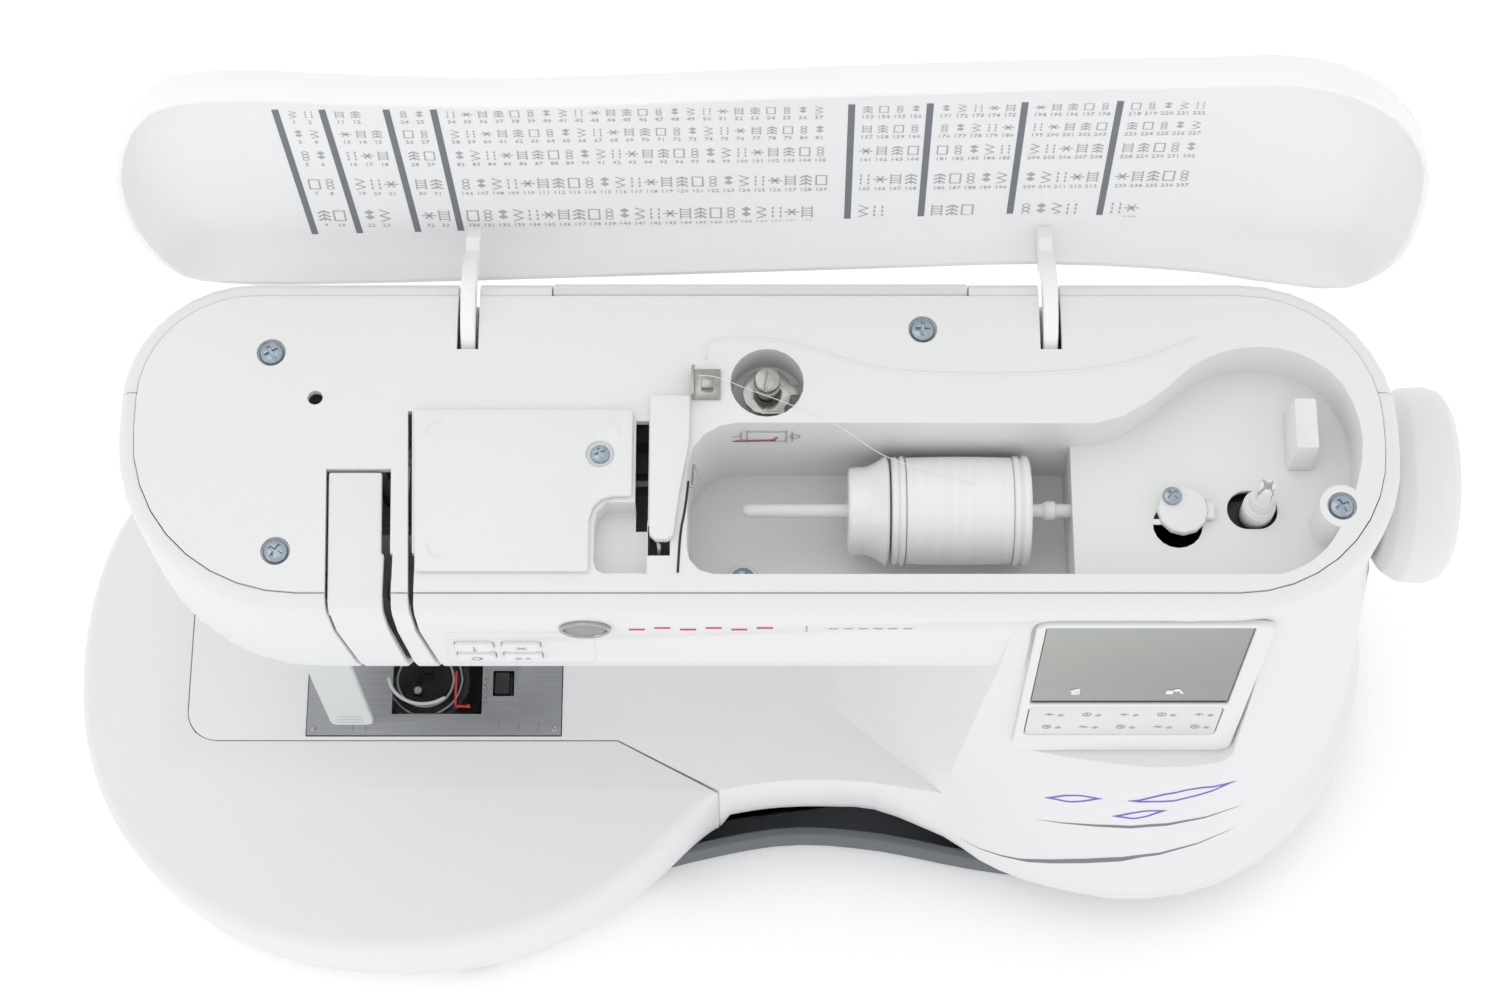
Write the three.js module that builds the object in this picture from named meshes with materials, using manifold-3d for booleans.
// A computerised household sewing machine with its top lid open.
// Millimetres, +Z up, front towards -Y, origin on the ground under the middle of the machine.

import * as THREE from 'three';
import { mergeVertices } from 'three/addons/utils/BufferGeometryUtils.js';
import Module from 'manifold-3d';

const wasm = await Module();
wasm.setup();

// ---------------------------------------------------------------- driving dimensions
const GAP = 0.3; // play left between pieces that touch
const WALL = 3; // thickness of the moulded covers

const ARM = { left: -206, right: 228, front: -44, rear: 76, bottom: 205, top: 287.5 };
const ARM_CORNERS = { frontLeft: 64, frontRight: 58, rearRight: 52, rearLeft: 44 };
const RIM = 6; // width of the rim around the deck
const DECK = { bottom: 284.8, top: 288 };
const BED_TOP = 76;
const BED_BOTTOM = 22;
const NECK_Z = 235; // height at which the column has become the arm
const SPLIT_Y = 34; // parting line between front and rear cover
const FREE_ARM = { left: -216, right: 40, front: -26, rear: 60 };

const SHAFT = { y: 23.5, z: 228, radius: 4 };
const WHEEL = { inner: 229, outer: 255.5, radius: 35 };
const NEEDLE = { x: -120, y: 21 };
const PRESSER = { x: -120, y: 35 };
const LIFTER = { y: 69.5, z: 226 }; // hinge of the presser foot lifter
const BOBBIN = { x: -122.7, y: 1.4 };
const SPOOL = { y: 1.5, z: 260, left: 56, right: 103.5, radius: 19.5 };
const TROUGH_FLOOR = 239; // floor of the spool trough
const WINDER_FLOOR = 267; // floor of the shallow end, where the bobbin winder is
const WINDER = { x: 181.1, y: -0.8 };
const STOPPER = { x: 155.2, y: -1.9 };
const TENSION = { x: 13.8, y: 37.4 };

const LID = { pivotY: 69, pivotZ: 269, open: THREE.MathUtils.degToRad(96), rim: 288.3 };
const HINGE_X = [-88.3, 110.7]; // the two lid hinges
const HINGE_WIDTH = 5;
const HANDLE = { left: -59.7, right: 82.8, inner: 69.6, bottom: 216, pivotY: 72.7, pivotZ: 284.2 };
const PANEL = { x: 142, y: -43.2, z: 267, lean: THREE.MathUtils.degToRad(-4.76) };
const BUTTONS = { x: [-86, -70], z: [251, 240], width: 13, height: 8 };

// ---------------------------------------------------------------- finishes
const finish = (color, roughness, metalness = 0, extra = {}) =>
  new THREE.MeshStandardMaterial({ color, roughness, metalness, ...extra });
const WHITE = finish(0xeeefef, 0.35);
const WARM_WHITE = finish(0xe9e8e4, 0.4);
const PALE_GREY = finish(0xcfd3d2, 0.45);
const DARK_GREY = finish(0x696c70, 0.55);
const BLACK = finish(0x151617, 0.5);
const RUBBER = finish(0x2a2a2b, 0.85);
const STEEL = finish(0x9ea1a4, 0.35, 1);
const ZINC = finish(0xb4bcc4, 0.3, 1);
const NICKEL = finish(0xc9cac8, 0.2, 1);
const ALUMINIUM = finish(0xb1b3b5, 0.5, 1);
const THREAD = finish(0xf4f4f1, 0.6);
const CLEAR = finish(0xdfe5e6, 0.1, 0, { transparent: true, opacity: 0.35 });
const LCD = finish(0x6f7474, 0.25);

// ---------------------------------------------------------------- solids
function toSolid(geometry) {
  const bare = geometry.clone();
  bare.deleteAttribute('normal');
  bare.deleteAttribute('uv');
  const merged = mergeVertices(bare, 1e-4);
  return new wasm.Manifold(
    new wasm.Mesh({
      numProp: 3,
      vertProperties: new Float32Array(merged.attributes.position.array),
      triVerts: new Uint32Array(merged.index.array),
    }),
  );
}

function toGeometry(solid) {
  const { vertProperties, triVerts } = solid.getMesh();
  const geometry = new THREE.BufferGeometry();
  geometry.setAttribute('position', new THREE.BufferAttribute(vertProperties, 3));
  geometry.setIndex(new THREE.BufferAttribute(triVerts, 1));
  return geometry;
}

const join = (first, ...rest) => rest.reduce((all, next) => all.add(next), first);
const cut = (first, ...rest) => rest.reduce((left, next) => left.subtract(next), first);

const toShape = (outline) =>
  outline instanceof THREE.Shape ? outline : new THREE.Shape(outline.map(([u, v]) => new THREE.Vector2(u, v)));

function block([x0, x1], [y0, y1], [z0, z1]) {
  const box = new THREE.BoxGeometry(x1 - x0, y1 - y0, z1 - z0);
  return toSolid(box.translate((x0 + x1) / 2, (y0 + y1) / 2, (z0 + z1) / 2));
}

// A straight-sided plate standing on z0: outline in plan, extruded upwards.
function plate(outline, z0, z1) {
  const body = new THREE.ExtrudeGeometry(toShape(outline), { depth: z1 - z0, bevelEnabled: false, curveSegments: 4 });
  return toSolid(body.translate(0, 0, z0));
}

// An outline drawn in the front view, x across and z up, extruded from y0 back to y1.
function frontPlate(outline, y0, y1) {
  const body = new THREE.ExtrudeGeometry(toShape(outline), { depth: y1 - y0, bevelEnabled: false, curveSegments: 3 });
  return toSolid(body.rotateX(Math.PI / 2).translate(0, y1, 0));
}

// An outline drawn in the side view, y across and z up, extruded from x0 to x1.
function sidePlate(outline, x0, x1) {
  const body = new THREE.ExtrudeGeometry(toShape(outline), { depth: x1 - x0, bevelEnabled: false, curveSegments: 8 });
  body.rotateX(Math.PI / 2).rotateZ(Math.PI / 2);
  return toSolid(body.translate(x0, 0, 0));
}

// A turned piece: profile of [radius, distance along the axis] pairs that starts and ends on the axis.
function turned(profile, axis, [x, y, z], segments = 20) {
  const points = profile.map(([radius, along]) => new THREE.Vector2(radius, along));
  const body = new THREE.LatheGeometry(points, segments);
  if (axis === 'x') body.rotateZ(-Math.PI / 2);
  if (axis === 'z') body.rotateX(Math.PI / 2);
  return toSolid(body.translate(x, y, z));
}

const rod = (radius, from, to, axis, place, segments = 12) =>
  turned([[0, from], [radius, from], [radius, to], [0, to]], axis, place, segments);

function roundedShape(x0, x1, y0, y1, radius) {
  const shape = new THREE.Shape();
  shape.absarc(x0 + radius, y0 + radius, radius, Math.PI, 1.5 * Math.PI);
  shape.absarc(x1 - radius, y0 + radius, radius, 1.5 * Math.PI, 2 * Math.PI);
  shape.absarc(x1 - radius, y1 - radius, radius, 0, 0.5 * Math.PI);
  shape.absarc(x0 + radius, y1 - radius, radius, 0.5 * Math.PI, Math.PI);
  return shape;
}

// A body through horizontal rings, each { z, points } with the same number of points, anticlockwise.
function loft(rings) {
  const count = rings[0].points.length;
  const positions = rings.flatMap(({ z, points }) => points.flatMap(([x, y]) => [x, y, z]));
  const index = [];
  for (let level = 0; level < rings.length - 1; level += 1) {
    for (let i = 0; i < count; i += 1) {
      const a = level * count + i;
      const b = level * count + ((i + 1) % count);
      index.push(a, b, b + count, a, b + count, a + count);
    }
  }
  const flat = (ring) => THREE.ShapeUtils.triangulateShape(ring.points.map(([x, y]) => new THREE.Vector2(x, y)), []);
  const top = (rings.length - 1) * count;
  flat(rings[0]).forEach(([a, b, c]) => index.push(a, c, b));
  flat(rings[rings.length - 1]).forEach(([a, b, c]) => index.push(top + a, top + b, top + c));
  const geometry = new THREE.BufferGeometry();
  geometry.setAttribute('position', new THREE.Float32BufferAttribute(positions, 3));
  geometry.setIndex(index);
  return toSolid(geometry);
}

// The same anticlockwise outline moved inwards; share scales the move from point to point.
function inset(points, distance, share = () => 1) {
  const count = points.length;
  return points.map(([x, y], i) => {
    const [px, py] = points[(i + count - 1) % count];
    const [nx, ny] = points[(i + 1) % count];
    const length = Math.hypot(nx - px, ny - py) || 1;
    const move = distance * share(i / count);
    return [x - ((ny - py) / length) * move, y + ((nx - px) / length) * move];
  });
}

const spline = (points, count) =>
  new THREE.SplineCurve(points.map(([x, y]) => new THREE.Vector2(x, y))).getPoints(count).map((p) => [p.x, p.y]);

const grow = ([low, high], by) => [low - by, high + by];
const between = (a, b, t) => a + (b - a) * t;

// ---------------------------------------------------------------- scene graph
const machine = new THREE.Group();

function part(name, shape, material, parent = machine) {
  const mesh = new THREE.Mesh(shape.isBufferGeometry ? shape : toGeometry(shape), material);
  mesh.name = name;
  parent.add(mesh);
  return mesh;
}

// ---------------------------------------------------------------- arm
// Plan of the arm: a rectangle with four corners of its own radius, moved inwards by `by`.
function armOutline(by) {
  const corner = (cx, cy, radius, start) =>
    Array.from({ length: 10 }, (_, i) => {
      const angle = start + (i / 9) * (Math.PI / 2);
      return [cx + (radius - by) * Math.cos(angle), cy + (radius - by) * Math.sin(angle)];
    });
  const { frontLeft, frontRight, rearRight, rearLeft } = ARM_CORNERS;
  return [
    ...corner(ARM.left + frontLeft, ARM.front + frontLeft, frontLeft, Math.PI),
    ...corner(ARM.right - frontRight, ARM.front + frontRight, frontRight, 1.5 * Math.PI),
    ...corner(ARM.right - rearRight, ARM.rear - rearRight, rearRight, 0),
    ...corner(ARM.left + rearLeft, ARM.rear - rearLeft, rearLeft, 0.5 * Math.PI),
  ];
}

// The points of an open smooth curve through the given ones.
function smooth(points, count) {
  const path = points.map(([x, y]) => new THREE.Vector3(x, y, 0));
  return new THREE.CatmullRomCurve3(path, false, 'centripetal').getPoints(count).map((p) => [p.x, p.y]);
}

const armRing = (z, by) => ({ z, points: armOutline(by) });
const UNDER = 27; // radius of the arm's lower edge
const lowerEdge = [0, 18, 36, 54, 72, 90].map((degrees) => {
  const angle = THREE.MathUtils.degToRad(degrees);
  return { rise: UNDER * (1 - Math.cos(angle)), by: UNDER * (1 - Math.sin(angle)) };
});
const armOuter = loft([
  ...lowerEdge.map(({ rise, by }) => armRing(ARM.bottom + rise, by)),
  armRing(ARM.top - 6, 0),
  armRing(ARM.top - 2, 1),
  armRing(ARM.top, 3),
]);
const armCavity = loft([
  ...lowerEdge.map(({ rise, by }) => armRing(ARM.bottom + WALL + rise * 0.85, by + WALL)),
  armRing(DECK.bottom - 5, WALL),
  armRing(DECK.bottom - 2, RIM),
  armRing(ARM.top + 5, RIM),
]);

// ---------------------------------------------------------------- column and bed
// Outlines of the column's front, right side and back at three heights, from its front left edge round.
const NECK = [[95, -45.5], [110, -46.5], [135, -47.5], [165, -47.5], [195, -42], [214, -27],
  [226, -2], [228, 30], [222, 55], [204, 72], [172, 76]];
const BED = [[83.8, -48], [104, -59.5], [130, -68.5], [165, -74], [202, -65], [231, -38],
  [247, -4], [251, 30], [243, 64], [218, 88], [178, 93]];
const SKIRT = [[86, -55], [105, -67.5], [130, -76.5], [165, -81.5], [205, -72], [238, -43],
  [255, -6], [259, 30], [250, 68], [222, 92], [180, 96]];
const SKIRT_Z = 42;
const BED_FRONT = [[-4, -47], [10, -44.2], [24, -42.8], [40, -42.6], [60, -44.2]]; // hollow of the front edge
const LEFT_FOOT = [[36, 88], [40, 50], [50, 6], [63, -20]]; // throat side of the column at the bed
const LEFT_NECK = [[78, 76], [76, 45], [78, 10], [84, -18]]; // and at the arm
const FILLET = 26; // sweep of the bed up into the column

// Height-dependent control points: the column flares from the arm down to the skirt.
function sweepAt(z) {
  if (z >= BED_TOP) {
    const flare = Math.pow(Math.max(0, NECK_Z - z) / (NECK_Z - BED_TOP), 0.9);
    return NECK.map(([x, y], i) => [between(x, BED[i][0], flare), between(y, BED[i][1], flare)]);
  }
  const drop = Math.sin(Math.min(1, (BED_TOP - z) / (BED_TOP - SKIRT_Z)) * (Math.PI / 2));
  return BED.map(([x, y], i) => [between(x, SKIRT[i][0], drop), between(y, SKIRT[i][1], drop)]);
}

// The sampled front, right side and back. Two points before the first keep its tangent.
function sweep(z) {
  const control = sweepAt(z);
  const [x, y] = control[0];
  const lead = z > BED_TOP ? [[x - 44, y + 5], [x - 24, y + 4]] : BED_FRONT.slice(-2);
  const curve = new THREE.SplineCurve([...lead, ...control].map(([px, py]) => new THREE.Vector2(px, py)));
  const last = control.length + 1;
  return Array.from({ length: 27 }, (_, i) => {
    const point = curve.getPoint((2 + (i / 26) * (last - 2)) / last);
    return [point.x, point.y];
  });
}

function columnRing(z, by = 0) {
  const rise = Math.min(1, (z - BED_TOP) / (NECK_Z - BED_TOP));
  const foot = Math.max(0, FILLET - (z - BED_TOP));
  const spread = FILLET - Math.sqrt(FILLET * FILLET - foot * foot);
  const left = LEFT_FOOT.map(([x, y], i) => {
    const own = i === 3 ? 0.5 : 1;
    return [between(x, LEFT_NECK[i][0], rise) - spread * own, between(y, LEFT_NECK[i][1], rise)];
  });
  const round = sweep(z);
  const side = spline([...left, round[0]], 12).slice(0, -1);
  return { z, points: inset([...round, ...side], by) };
}

function bedRing(z, by = 0) {
  const round = sweep(z);
  const front = spline([...BED_FRONT, round[0]], 14).slice(0, -1);
  const rear = [[-4, 92], [-44.5, FREE_ARM.rear], [-44.5, FREE_ARM.front]];
  const tuck = z < SKIRT_Z ? 5 * Math.pow((SKIRT_Z - z) / (SKIRT_Z - BED_BOTTOM), 2) : 0;
  const share = (t) => (t > 0.02 && t < 0.93 ? 1 : 0);
  return { z, points: inset(inset([...front, ...round, ...rear], tuck, share), by) };
}

const columnLevels = [BED_TOP, 79, 86, 102, 130, 165, 200, NECK_Z];
// Above the neck the column runs on up the arm's face and sinks into it.
const NECK_SINK = [[NECK_Z + 22, 1.2], [DECK.bottom - 6, 4.1]];
const column = loft([
  ...columnLevels.map((z) => columnRing(z)),
  ...NECK_SINK.map(([z, by]) => ({ ...columnRing(NECK_Z, by), z })),
]);
// The hollow lies one wall thickness below and inside the outer surface, sweep at the foot included.
const columnCavity = loft(columnLevels.slice(1).map((z) => ({ ...columnRing(z, WALL), z: z - WALL })));
const bed = loft([BED_BOTTOM, 30, SKIRT_Z, 58, BED_TOP].map((z) => bedRing(z)));
const bedCavity = join(
  loft([BED_BOTTOM, SKIRT_Z, BED_TOP - WALL].map((z) => bedRing(z, WALL))),
  plate(bedRing(BED_BOTTOM, WALL).points, BED_BOTTOM - 5, BED_BOTTOM + 1),
  plate(columnRing(columnLevels[1], WALL).points, BED_TOP - WALL - 1, BED_TOP),
);
const freeArmShape = (by) =>
  roundedShape(FREE_ARM.left + by, FREE_ARM.right, FREE_ARM.front + by, FREE_ARM.rear - by, 12 - by);
const freeArm = plate(freeArmShape(0), BED_BOTTOM, BED_TOP);
const freeArmCavity = plate(freeArmShape(WALL), BED_BOTTOM - 5, BED_TOP - WALL);

const bodyOuter = join(armOuter, column, bed, freeArm);

// ---------------------------------------------------------------- cut-outs shared by the covers
const panelGroup = new THREE.Group();
panelGroup.position.set(PANEL.x, PANEL.y, PANEL.z);
panelGroup.rotation.x = PANEL.lean;
machine.add(panelGroup);
panelGroup.updateMatrix();

// A block given in the screen panel's own frame: x across, z up the face, y into the machine.
function panelBlock([x0, x1], [y0, y1], [z0, z1], radius = 2) {
  const shape = roundedShape(x0, x1, z0, z1, radius);
  const body = new THREE.ExtrudeGeometry(shape, { depth: y1 - y0, bevelEnabled: false, curveSegments: 3 });
  return body.rotateX(Math.PI / 2).translate(0, y1, 0);
}
const inMachine = (geometry) => toSolid(geometry.applyMatrix4(panelGroup.matrix));
const pocket = inMachine(panelBlock([-39, 43], [-40, 0], [-109, 9], 7));
const pocketBacking = inMachine(panelBlock([-43, 47], [-40, WALL], [-113, 13], 7));
const pocketWindow = inMachine(panelBlock([-33, 33], [-1, 8], [-90, -3], 3));

const handleSpan = [HANDLE.left - GAP, HANDLE.right + GAP];
const handleRecess = block(handleSpan, [HANDLE.inner - GAP, 95], [HANDLE.bottom - GAP, 300]);
const handleBacking = block([HANDLE.left - 4, HANDLE.right + 4], [HANDLE.inner - 3.3, 95], [HANDLE.bottom - 4, 279]);
const GRIP = { x: [-38, 61], z: [230, 264] }; // finger hole of the handle, with a deeper recess behind it
const gripRecess = block(grow(GRIP.x, 2), [55, 95], grow(GRIP.z, 3));
const gripBacking = block(grow(GRIP.x, 5), [52, 95], grow(GRIP.z, 6));
const POWER = { x: 245, y: [44, 84], z: [52, 98] };
const powerRecess = block([POWER.x, 275], POWER.y, POWER.z);
const powerBacking = block([POWER.x - 3, 275], [POWER.y[0] - 3, POWER.y[1] + 3], [POWER.z[0] - 3, POWER.z[1] + 3]);
const powerHoles = join(
  block([POWER.x - 6, 250], [48, 62], [60, 90]),
  block([POWER.x - 6, 250], [66, 81], [60, 90]),
);

const HINGE_SLOT = { side: HINGE_WIDTH / 2 + 1.2, front: 49.8, floor: 255 };
const hingeSlots = HINGE_X.map((x) =>
  block([x - HINGE_SLOT.side, x + HINGE_SLOT.side], [HINGE_SLOT.front, 90], [HINGE_SLOT.floor, 300]));

// The thread channel: a tongue of the cover between two slots, over the deck and down the front.
const tongueTop = [[-131.2, -50], [-113.6, -50], [-115.5, 5], [-133.3, 5]];
const tongueFront = [[-124.6, 204], [-109.6, 204], [-113.6, 265], [-113.6, 300], [-131.2, 300], [-131.2, 265]];
const channelTop = [[-132.1, -50], [-110.6, -50], [-112.4, 6], [-134.2, 6]];
const channelFront = [[-125.6, 200], [-106.4, 200], [-110.6, 265], [-110.6, 300], [-132.1, 300], [-132.1, 265]];
const slotTop = [[-104.6, -50], [-103.2, -50], [-106.2, 27], [-107.6, 27]];
const slotFront = [[-98.2, 200], [-96.6, 200], [-103.2, 265], [-103.2, 300], [-104.6, 300], [-104.6, 265]];
const FRONT_DEPTH = [ARM.front - 4, ARM.front + 20];
const threadCuts = join(
  plate(channelTop, 281, 300),
  frontPlate(channelFront, ...FRONT_DEPTH),
  plate(slotTop, 281, 300),
  frontPlate(slotFront, ...FRONT_DEPTH),
);
const threadTongue = join(plate(tongueTop, 281.5, 300), frontPlate(tongueFront, ...FRONT_DEPTH));

// ---------------------------------------------------------------- front and rear cover
const cavity = cut(join(armCavity, columnCavity, bedCavity, freeArmCavity), pocketBacking, handleBacking,
  gripBacking, powerBacking);
const shell = cut(bodyOuter, cavity);
const NEEDLE_PLATE = { x: [-168.5, -67.2], y: [-24.2, 52], z: [74.4, 76.3] };
const buttonPlaces = BUTTONS.z.flatMap((z) => BUTTONS.x.map((x) => [x, z]));
const buttonShape = (x, z, by) => {
  const [w, h] = [BUTTONS.width / 2 + by, BUTTONS.height / 2 + by];
  return roundedShape(x - w, x + w, z - h, z + h, 2.5);
};
const openings = join(
  pocket,
  pocketWindow,
  handleRecess,
  gripRecess,
  powerRecess,
  powerHoles,
  threadCuts,
  block(grow(NEEDLE_PLATE.x, GAP), grow(NEEDLE_PLATE.y, GAP), [60, 80]),
  block([-132, -100], [12, 50], [200, 215]),
  block([-151, -133], [-39, -24], [200, 228]),
  block([-125, -115], [64, 80], [216, 242]),
  rod(13, 215, 240, 'x', [0, SHAFT.y, SHAFT.z], 20),
  rod(WHEEL.radius + 1.5, WHEEL.inner, 270, 'x', [0, SHAFT.y, SHAFT.z], 28),
  ...hingeSlots,
  ...buttonPlaces.map(([x, z]) => frontPlate(buttonShape(x, z, GAP), ...FRONT_DEPTH)),
);
const covers = cut(shell, openings);
const FAR = 400;
part('front_cover', covers.intersect(block([-FAR, FAR], [-FAR, SPLIT_Y - GAP / 2], [0, FAR])), WHITE);
part('rear_cover', covers.intersect(block([-FAR, FAR], [SPLIT_Y + GAP / 2, FAR], [0, FAR])), WHITE);

// ---------------------------------------------------------------- deck with the spool trough
const trough = [[-4, -31.3], [118, -31.3], [118, 22.5], [4, 22.8], [-2, 21.6], [-7.5, 18.4], [-11.3, 13.4],
  [-12.9, 7], [-13, -22], [-12, -26.3], [-9, -29.8]];
const WELL_SWEEP = [[184, -31.3], [192.8, -27.7], [200.5, -21], [207, -10.5], [212, 2.7], [214.1, 20.9], [207.5, 39],
  [193.5, 48.8], [177, 50.5], [161.4, 45.5], [145, 32], [134, 25]];
const winderWell = [[117, -31.3], ...smooth(WELL_SWEEP, 30), [124, 22.5], [117, 22.5]];
const frontPocket = [[-40.5, -31.3], [-26.2, -31.3], [-26.2, -6], [-40, -6], [-43.2, -9.5], [-44, -14],
  [-44, -26.5], [-43, -30]];
const POCKET_FLOOR = 278; // floor of the small pocket in front of the guide finger
const SCREWS = [[-155, 48.6], [-149.6, -23.3], [67, 57.2], [205.7, -7.3]];
const screwSeats = SCREWS.flatMap(([x, y]) => [
  rod(5, 286, 300, 'z', [x, y, 0], 20),
  rod(2.1, 260, 290, 'z', [x, y, 0], 12),
]);
const deckSolid = join(
  plate(armOutline(RIM + GAP), DECK.bottom, DECK.top),
  plate(inset(trough, -2), TROUGH_FLOOR - 2, DECK.top),
  plate(inset(winderWell, -2), WINDER_FLOOR - 2, DECK.top),
  rod(14, 271, DECK.top, 'z', [TENSION.x, TENSION.y, 0], 24),
  plate(inset(frontPocket, -2), POCKET_FLOOR - 2, DECK.top),
  rod(7, WINDER_FLOOR - 2, DECK.top, 'z', [...SCREWS[3], 0], 20),
);
// The crescent under the stopper disc, widest in the middle.
const stopperSlot = (() => {
  const arc = (radius, swell) => Array.from({ length: 13 }, (_, i) => {
    const angle = THREE.MathUtils.degToRad(175 + 12.5 * i);
    const reach = radius + swell * Math.sin((i / 12) * Math.PI);
    return [STOPPER.x + reach * Math.cos(angle), STOPPER.y + reach * Math.sin(angle)];
  });
  return [...arc(8.4, 4.6), ...arc(6.4, 0).reverse()];
})();
const deckCuts = join(
  plate(trough, TROUGH_FLOOR, 300),
  cut(plate(winderWell, WINDER_FLOOR, 300), rod(7.5, 260, DECK.top, 'z', [...SCREWS[3], 0], 20)),
  rod(12.5, 273, 300, 'z', [TENSION.x, TENSION.y, 0], 24),
  rod(3.3, 260, 300, 'z', [TENSION.x, TENSION.y, 0], 16),
  rod(2.6, 270, 300, 'z', [-139.2, 31.9, 0], 16),
  plate(frontPocket, POCKET_FLOOR, 300),
  plate(roundedShape(WINDER.x - 10.4, WINDER.x + 6.9, WINDER.y - 7, WINDER.y + 7, 6.9), 250, 280),
  plate(stopperSlot, 250, 280),
  rod(3.4, 250, 280, 'z', [STOPPER.x, STOPPER.y, 0], 16),
  block([-30.4, -26], [-12.9, 23.3], [270, 300]),
  block([-26, -18.6], [-25, -14.5], [270, 300]),
  rod(2.7, 112, 124, 'x', [0, SPOOL.y, SPOOL.z], 16),
  threadCuts,
  ...hingeSlots,
  ...screwSeats,
);
part('top_deck', cut(deckSolid, deckCuts), WHITE);
part('thread_channel_tongue',
  join(plate(armOutline(RIM - GAP), DECK.bottom, DECK.top - 0.5), cut(armOuter, armCavity)).intersect(threadTongue),
  WHITE);

const panelPlate = [[-102.9, -31], [-45.5, -31], [-45.5, -12.5], [-44.4, -8.6], [-41.6, -5.6], [-37.6, -4.5],
  [-31.4, -4.5], [-31.4, 26.9], [-105.4, 26.9]];
const PLATE_TOP = 290.3;
part('deck_panel', cut(
  plate(panelPlate, DECK.top + GAP, PLATE_TOP),
  rod(4.6, 289.2, 295, 'z', [-42.3, 10.6, 0], 20),
), WHITE);

const fingerPlan = [[-25.7, 31.2], [-25.4, -18.4], [-23.4, -20.5], [-19.4, -20.5], [-17.4, -18.8],
  [-15.6, -4], [-12.4, 14], [-12.2, 31.2]];
part('guide_finger', plate(fingerPlan, DECK.top + GAP, 292), WHITE);

const screwBody = (head) => {
  const profile = [[0, -9], [1.8, -8], [1.8, 0], [4.2, 0], [4.2, head * 0.5], [3, head], [0, head]];
  const solid = turned(profile, 'z', [0, 0, 0], 12);
  return cut(
    solid,
    block([-2.3, 2.3], [-0.45, 0.45], [head - 1, head + 1]),
    block([-0.45, 0.45], [-2.3, 2.3], [head - 1, head + 1]),
  );
};
SCREWS.forEach(([x, y], i) => {
  part(`deck_screw_${i + 1}`, screwBody(2.2), ZINC).position.set(x, y, 286 + GAP);
});

// ---------------------------------------------------------------- lid, modelled closed and turned open
const lidGroup = new THREE.Group();
lidGroup.position.set(0, LID.pivotY, LID.pivotZ);
lidGroup.rotation.x = -LID.open;
machine.add(lidGroup);
const inLid = (solid) => toGeometry(solid).translate(0, -LID.pivotY, -LID.pivotZ);

// Plan of the closed lid, anticlockwise from the front left corner: the front edge runs in a slow wave.
const lidPlan = [[-187.7, -30], [-168, -38], [-120, -36], [-70, -34], [8, -39], [86, -43.5], [150, -45.5],
  [186, -46], [212.6, -33], [231, -6], [237, 30], [234, 62], [220, 79], [190, 75], [163, 68], [109, 63],
  [60, 65.5], [8, 68.5], [-60, 72.5], [-130, 76], [-172, 76.5], [-192, 71], [-203.5, 45], [-203.5, 5]];
const lidOutline = (() => {
  const loop = new THREE.CatmullRomCurve3(lidPlan.map(([x, y]) => new THREE.Vector3(x, y, 0)), true, 'centripetal');
  return loop.getPoints(64).slice(0, -1).map((p) => [p.x, p.y]);
})();
const lidRing = (z, by) => ({ z, points: inset(lidOutline, by) });
const LID_WALL = 2.2;
const lidOuter = [[0, 0], [9, 0.6], [12.5, 2.4], [14.8, 5.5], [16, 9.6]];
const lidShell = cut(
  loft(lidOuter.map(([rise, by]) => lidRing(LID.rim + rise, by))),
  loft([[-1, 0], ...lidOuter.slice(1)].map(([rise, by]) =>
    lidRing(LID.rim + rise - LID_WALL * (rise > 0), by + LID_WALL))),
);
part('top_lid', inLid(lidShell), WARM_WHITE, lidGroup);

// Each hinge arm is a hook: a ring sector about the pivot, a spoke to its boss and a foot in the lid.
const HOOK = { inner: 17, outer: 24.4 };
const hook = (() => {
  const turn = LID.open;
  const polar = (radius, degrees) => {
    const angle = THREE.MathUtils.degToRad(degrees) + turn;
    return [radius * Math.cos(angle), radius * Math.sin(angle)];
  };
  const range = (from, to, count) => Array.from({ length: count }, (_, i) => from + ((to - from) * i) / (count - 1));
  const outline = [
    ...range(34, 168, 10).map((a) => polar(HOOK.outer, a)),
    polar(9, 178), polar(5, 200), polar(5, 250), polar(5, 300), polar(5, 350), polar(5, 40), polar(6, 90),
    polar(10, 138),
    ...range(150, 22, 10).map((a) => polar(HOOK.inner, a)),
    polar(30, 14), polar(33.2, 19), polar(29, 30),
  ];
  return outline.map(([y, z]) => [y + LID.pivotY, z + LID.pivotZ]);
})();
HINGE_X.forEach((x, i) => {
  const arm = sidePlate(hook, x - HINGE_WIDTH / 2, x + HINGE_WIDTH / 2);
  part(`lid_hinge_${i + 1}`, inLid(arm), WARM_WHITE, lidGroup);
});

// ---------------------------------------------------------------- carry handle, folded into the back
const handleBar = join(
  bodyOuter.intersect(block([HANDLE.left, HANDLE.right], [HANDLE.inner, 95], [HANDLE.bottom, 284.2])),
  bodyOuter.intersect(block([HANDLE.left, HANDLE.right], [HANDLE.pivotY, 95], [284, 300])),
  rod(2.9, HANDLE.left, HANDLE.right, 'x', [0, HANDLE.pivotY, HANDLE.pivotZ], 16),
);
const fingerHole = frontPlate(roundedShape(...GRIP.x, ...GRIP.z, 12), 60, 95);
part('carry_handle', cut(handleBar, fingerHole), WHITE);

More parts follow.
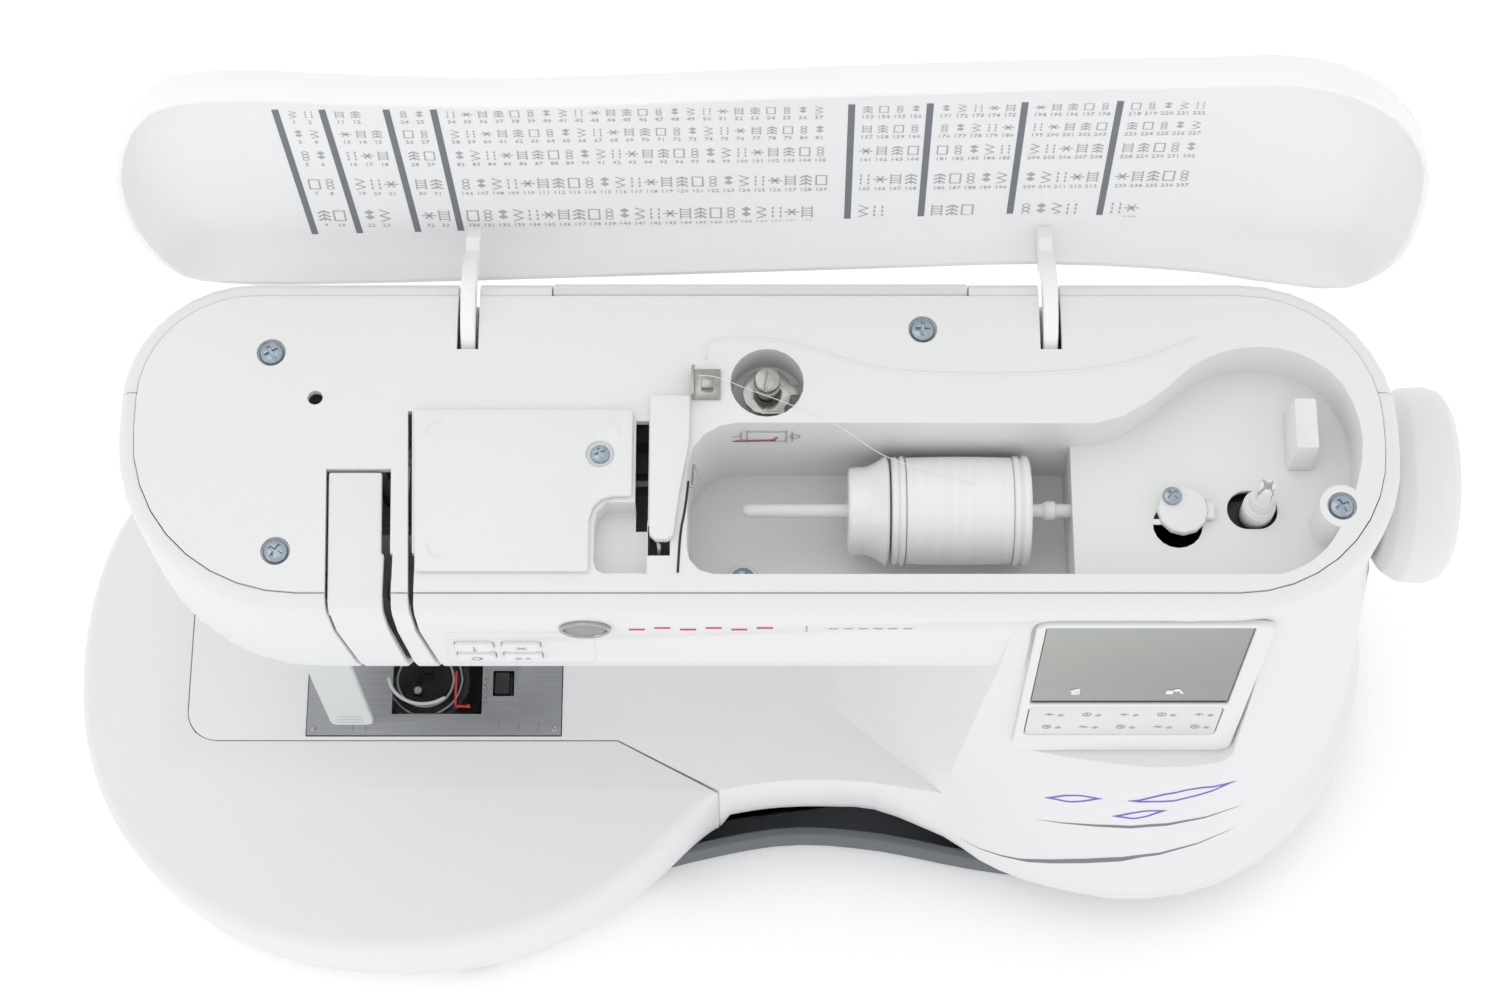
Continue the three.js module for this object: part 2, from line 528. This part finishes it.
// ---------------------------------------------------------------- base pan and feet
const panPlan = [[-45, -66], [-12, -57], [24, -50.7], [60, -53], [100, -61], [140, -66], [170, -67], [205, -58],
  [234, -30], [246, 20], [238, 66], [206, 86], [-40, 86], [-45, 56], [-205, 56], [-205, -20], [-45, -20]];
const PAN = { bottom: 4, top: BED_BOTTOM - GAP, floor: 7 };
const panOutline = [...spline(panPlan.slice(0, 12), 36), ...panPlan.slice(12)];
const pan = cut(plate(panOutline, PAN.bottom, PAN.top), plate(inset(panOutline, 3.5), PAN.floor, 40));
part('base_pan', pan, DARK_GREY);
const FOOT = { radius: 9, top: PAN.bottom - GAP };
const footBody = turned([[0, 0], [7.5, 0], [9, 1.5], [9, FOOT.top], [0, FOOT.top]], 'z', [0, 0, 0], 14);
const FEET = [[-190, -5], [-190, 40], [-30, -48], [190, -45], [195, 66]];
FEET.forEach(([x, y], i) => {
  part(`rubber_foot_${i + 1}`, footBody, RUBBER).position.set(x, y, 0);
});

// ---------------------------------------------------------------- extension table around the free arm
const lobe = [[-4.4, 92], [-60, 93], [-150, 93.5], [-205, 92], [-240, 79.5], [-256, 48], [-260.5, 5], [-253, -38],
  [-230, -75], [-189, -101.5], [-137, -110.5], [-90, -105.2], [-58, -92.5], [-33, -75], [-12, -54.5], [-4.4, -47.5]];
const pocketEdge = [[-44.9, FREE_ARM.front - 0.4], [-204, FREE_ARM.front - 0.4], [-212.9, -22.9], [-216.4, -14],
  [-216.4, 48], [-212.9, 56.9], [-204, FREE_ARM.rear + 0.4], [-44.9, FREE_ARM.rear + 0.4]];
const lobePoints = spline(lobe, 56);
const tableRing = (z, by) => {
  const share = (t) => Math.min(1, Math.max(0, Math.min(t, 0.87 - t) * 12));
  return { z, points: inset([...lobePoints, ...pocketEdge], by, share) };
};
const TABLE_BOTTOM = 6;
const tableOuter = loft([[TABLE_BOTTOM, 7], [12, 4], [24, 1.5], [42, 0.2], [70, 0], [73.5, 1], [75.4, 2.8], [76, 5]]
  .map(([z, by]) => tableRing(z, by)));
const innerLobe = inset(lobePoints, 8).slice(4, -8);
const tableCavity = plate([...innerLobe, [-58, -30], [-211, -30], [-220, -21], [-220, 55], [-211, 64], [-40, 64]], 9, 73);
const tableMouth = block([-196, -66], [-32, -20], [14, 68]);
const panClearance = plate([...inset(panOutline, -1.5)], 0, BED_BOTTOM);
const armClearance = plate(freeArmShape(-GAP), 0, 90);
part('extension_table', cut(tableOuter, tableCavity, tableMouth, panClearance, armClearance), WHITE);
[[-105, -93], [-238, 20]].forEach(([x, y], i) => {
  const top = TABLE_BOTTOM - GAP;
  const foot = turned([[0, 0], [6, 0], [7.5, 1.5], [7.5, top], [0, top]], 'z', [0, 0, 0], 14);
  part(`table_foot_${i + 1}`, foot, RUBBER).position.set(x, y, 0);
});

// ---------------------------------------------------------------- needle plate, bobbin and hook
const COVER = { x: [-134.6, -99.4], y: [-15, 12] };
const plateHoles = join(
  block(grow(COVER.x, GAP), grow(COVER.y, GAP), [70, 80]),
  rod(2.2, 70, 80, 'z', [NEEDLE.x, NEEDLE.y, 0], 12),
  block([-126.5, -124], [17, 34], [70, 80]),
  block([-116, -113.5], [17, 34], [70, 80]),
  block([-94.8, -86.4], [-7.8, 2.7], [70, 80]),
);
part('needle_plate', cut(block(NEEDLE_PLATE.x, NEEDLE_PLATE.y, NEEDLE_PLATE.z), plateHoles), STEEL);
part('bobbin_cover', plate(roundedShape(COVER.x[0], COVER.x[1], COVER.y[0], COVER.y[1], 3), 74.8, 76.3), CLEAR);
part('cover_latch', join(
  block([-94, -88.2], [-7, 1.9], [73, 76.6]),
  block([-97, -87], [-9, 4], [71, 73.6]),
), BLACK);
const ring = (outer, inner, z0, z1, place, segments = 24) =>
  cut(rod(outer, z0, z1, 'z', place, segments), rod(inner, z0 - 1, z1 + 1, 'z', place, segments));
part('rotary_hook', join(
  ring(17.5, 14.5, 54, 67.5, [BOBBIN.x, BOBBIN.y, 0]),
  rod(17.5, 50, 54.5, 'z', [BOBBIN.x, BOBBIN.y, 0], 24),
  rod(4, 34, 51, 'z', [BOBBIN.x, BOBBIN.y, 0]),
), BLACK);
part('bobbin', cut(turned(
  [[0, 55], [10.2, 55], [10.2, 56.2], [4, 56.2], [4, 65], [10.2, 65], [10.2, 66.2], [0, 66.2]],
  'z', [BOBBIN.x, BOBBIN.y, 0],
), rod(2.8, 50, 70, 'z', [BOBBIN.x, BOBBIN.y, 0])), CLEAR);
part('feed_dog', join(
  block([-126.1, -124.4], [20, 31], [68, 75.6]),
  block([-115.6, -113.9], [20, 31], [68, 75.6]),
  block([-126.1, -113.9], [26, 31], [66, 69]),
), STEEL);

// ---------------------------------------------------------------- needle bar, presser bar and levers
part('needle_bar', join(
  rod(3.1, 132, 258, 'z', [NEEDLE.x, NEEDLE.y, 0]),
  block([-125, -115], [NEEDLE.y - 4.5, NEEDLE.y + 4.5], [124, 136]),
  rod(2, -131, -120, 'x', [0, NEEDLE.y, 130], 12),
), NICKEL);
part('needle', turned([[0, 84], [0.8, 92], [0.8, 112], [1.2, 114], [1.2, 123.7], [0, 123.7]], 'z',
  [NEEDLE.x, NEEDLE.y, 0], 10), NICKEL);
part('presser_bar', join(
  rod(2.9, 92, 262, 'z', [PRESSER.x, PRESSER.y, 0]),
  block([-124, -116], [PRESSER.y - 3.6, PRESSER.y + 6], [88, 104]),
  block([-124, -116], [PRESSER.y - 1, PRESSER.y + 9], [226, 232]),
), NICKEL);
part('presser_foot', join(
  cut(block([-130, -110], [12.8, 40], [77, 79.4]), block([-123.5, -116.5], [0, 27], [70, 90])),
  block([-124, -116], [31, 38], [79, 87.6]),
), NICKEL);
part('presser_lifter', join(
  rod(3, -123, -117, 'x', [0, LIFTER.y, LIFTER.z]),
  block([-122.5, -117.5], [LIFTER.y, 80], [LIFTER.z - 1.5, LIFTER.z + 1.5]),
  block([-124, -116], [77, 80.5], [200, LIFTER.z + 1.5]),
), PALE_GREY);
part('threader_lever', join(
  frontPlate(roundedShape(-150, -134, 136, 160, 3), -38, -35),
  block([-150, -134], [-38, -35], [157, 236]),
), PALE_GREY);
part('take_up_lever', join(
  block([-113.8, -111.8], [-30, 30], [240, 245]),
  block([-113.8, -111.8], [-34, -28], [240, 272]),
  rod(5, -115, -110.5, 'x', [0, 30, 242.5]),
), NICKEL);

// ---------------------------------------------------------------- thread path on the deck
const DECK_RISE = DECK.top + GAP;
part('pretension_guide', join(
  block([-11.8, -2], [31, 42], [DECK_RISE, DECK_RISE + 0.8]),
  block([-11.8, -10.7], [31, 42], [DECK_RISE, 293]),
  block([-8.4, -4.4], [34, 39], [DECK_RISE, 292]),
), NICKEL);
part('tension_stud', cut(
  turned([[0, 273.3], [6.5, 273.3], [6.5, 275], [3, 276], [3, 283], [4.5, 284], [4.5, 290.5], [3.8, 291.4], [0, 291.4]],
    'z', [TENSION.x, TENSION.y, 0]),
  block([TENSION.x - 8, TENSION.x + 8], [TENSION.y - 0.6, TENSION.y + 0.6], [290, 295]),
), NICKEL);
part('tension_disc', join(
  cut(rod(8.6, 279, 280.4, 'z', [TENSION.x, TENSION.y, 0]), rod(3.3, 270, 290, 'z', [TENSION.x, TENSION.y, 0])),
  block([TENSION.x + 6.6, TENSION.x + 11], [TENSION.y - 1.4, TENSION.y + 2.6], [279, 280.4]),
  block([TENSION.x - 2, TENSION.x + 6], [TENSION.y - 10, TENSION.y - 5.4], [279, 280.4]),
  block([TENSION.x - 2, TENSION.x + 6], [TENSION.y - 10, TENSION.y - 9], [280, 284.6]),
), NICKEL);
const alongSpool = [0, SPOOL.y, SPOOL.z];
part('spool_pin', join(rod(2.4, 8, 123, 'x', alongSpool), turned(
  [[0, 5.2], [1.6, 5.8], [2.4, 8], [2.4, 9], [0, 9]], 'x', alongSpool, 16,
)), WHITE);
part('spool_cap', cut(turned(
  [[0, 41.4], [8, 41.4], [9, 42], [11, 46], [18.5, 50.6], [19, 52.6], [18, 54.4], [0, 55.6]], 'x', alongSpool, 24,
), rod(2.7, 30, 60, 'x', alongSpool)), WHITE);
part('thread_spool', cut(turned(
  [[0, SPOOL.left], [17.6, SPOOL.left], [SPOOL.radius, 59], [SPOOL.radius, 100], [18, SPOOL.right], [0, SPOOL.right]],
  'x', alongSpool, 30,
), rod(2.7, 30, 130, 'x', alongSpool)), THREAD);
part('winder_spindle', turned(
  [[0, 257.5], [2, 257.5], [2, 262], [5.6, 262], [5.6, 273], [4.2, 274], [3.1, 289], [2.2, 290], [0, 290]],
  'z', [WINDER.x, WINDER.y, 0]), WHITE);
part('winder_arm', cut(
  block([WINDER.x - 16, WINDER.x + 9], [WINDER.y - 8, WINDER.y + 8], [258, 261.6]),
  rod(2.4, 250, 270, 'z', [WINDER.x, WINDER.y, 0]),
), BLACK);
part('winder_stopper', join(
  rod(8.6, WINDER_FLOOR + GAP, 271, 'z', [STOPPER.x, STOPPER.y, 0]),
  rod(3, 260, 268, 'z', [STOPPER.x, STOPPER.y, 0], 12),
  block([STOPPER.x, STOPPER.x + 11], [STOPPER.y - 3, STOPPER.y + 3], [WINDER_FLOOR + GAP, 270]),
), WHITE);

// ---------------------------------------------------------------- screen panel and keys
part('screen_bezel', cut(
  toSolid(panelBlock([-38, 42], [-2.6, -GAP], [-108, 8], 6)),
  toSolid(panelBlock([-34.9, 35.4], [-5, 5], [-62.6, 5.4], 1)),
  toSolid(panelBlock([-34.8, 34.8], [-5, 5], [-92.6, -65.4], 3)),
), WHITE, panelGroup);
part('touch_screen', panelBlock([-34.5, 35], [-1.9, -GAP], [-62.2, 5], 0.8), LCD, panelGroup);
part('key_strip', panelBlock([-34.4, 34.4], [-2.4, -GAP], [-92.2, -65.8], 2.5), PALE_GREY, panelGroup);
const BUTTON_NAMES = ['needle_position_button', 'thread_cutter_button', 'reverse_button', 'start_stop_button'];
buttonPlaces.forEach(([x, z], i) => {
  part(BUTTON_NAMES[i], frontPlate(buttonShape(x, z, 0), ARM.front - 1.3, ARM.front + 5), WHITE);
});

// ---------------------------------------------------------------- power inlet and switch
part('power_switch', block([POWER.x - 4, POWER.x + 2.5], [48.3, 61.7], [61.5, 88.5]), BLACK);
part('power_inlet', cut(
  block([POWER.x - 5.5, POWER.x + 1], [66.3, 80.7], [60.3, 89.7]),
  block([POWER.x - 3, POWER.x + 5], [68, 79], [63, 87]),
), BLACK);

// ---------------------------------------------------------------- drive
const alongShaft = [0, SHAFT.y, SHAFT.z];
part('handwheel', cut(
  turned([[0, WHEEL.inner + 1], [26, WHEEL.inner + 1], [31, WHEEL.inner + 4], [34.4, WHEEL.inner + 9], [35, WHEEL.outer - 9],
    [33.6, WHEEL.outer - 4], [29.5, WHEEL.outer - 1], [24, WHEEL.outer], [0, WHEEL.outer]], 'x', alongShaft, 36),
  rod(SHAFT.radius + GAP, 220, 252, 'x', alongShaft),
), WHITE);
const PULLEY_X = 205;
part('main_shaft', join(
  rod(SHAFT.radius, -98, 251.5, 'x', alongShaft),
  rod(13, -104, -98, 'x', alongShaft, 20),
  turned([[0, PULLEY_X - 5], [23, PULLEY_X - 5], [23, PULLEY_X - 3.6], [21.6, PULLEY_X - 3.6],
    [21.6, PULLEY_X + 3.6], [23, PULLEY_X + 3.6], [23, PULLEY_X + 5], [0, PULLEY_X + 5]], 'x', alongShaft),
), STEEL);
const MOTOR = { y: SHAFT.y, z: 88, pulley: 8 };
const alongMotor = [0, MOTOR.y, MOTOR.z];
part('drive_motor', join(
  rod(23, 146, 196, 'x', alongMotor, 24),
  block([150, 190], [MOTOR.y - 20, MOTOR.y + 20], [60, 68]),
), BLACK);
part('motor_pulley', turned(
  [[0, PULLEY_X - 5], [9.4, PULLEY_X - 5], [9.4, PULLEY_X - 3.6], [MOTOR.pulley, PULLEY_X - 3.6],
    [MOTOR.pulley, PULLEY_X + 3.6], [9.4, PULLEY_X + 3.6], [9.4, PULLEY_X + 5], [0, PULLEY_X + 5]], 'x', alongMotor), STEEL);
const beltLoop = (by) => {
  const [big, small] = [21.9 + by, MOTOR.pulley + GAP + by];
  const tilt = Math.asin((big - small) / (SHAFT.z - MOTOR.z));
  const loop = new THREE.Shape();
  loop.absarc(SHAFT.y, SHAFT.z, big, -tilt, Math.PI + tilt);
  loop.absarc(MOTOR.y, MOTOR.z, small, Math.PI + tilt, 2 * Math.PI - tilt);
  return loop;
};
part('drive_belt', cut(
  sidePlate(beltLoop(1.4), PULLEY_X - 3, PULLEY_X + 3),
  sidePlate(beltLoop(0), PULLEY_X - 4, PULLEY_X + 4),
), RUBBER);
part('frame_casting', cut(
  join(
    block([112, 140], [42, 62], [30, 222]),
    block([-190, 140], [42, 56], [30, 44]),
    block([-150, 140], [42, 58], [212, 222]),
    block([-64, -56], [12, 58], [213, 238]),
    block([130, 140], [12, 62], [213, 238]),
    block([-132, -110], [10, 58], [213, 222]),
  ),
  rod(SHAFT.radius + GAP, -80, 160, 'x', alongShaft),
  rod(3.4, 200, 240, 'z', [NEEDLE.x, NEEDLE.y, 0]),
  rod(3.2, 200, 240, 'z', [PRESSER.x, PRESSER.y, 0]),
), ALUMINIUM);

export default machine;
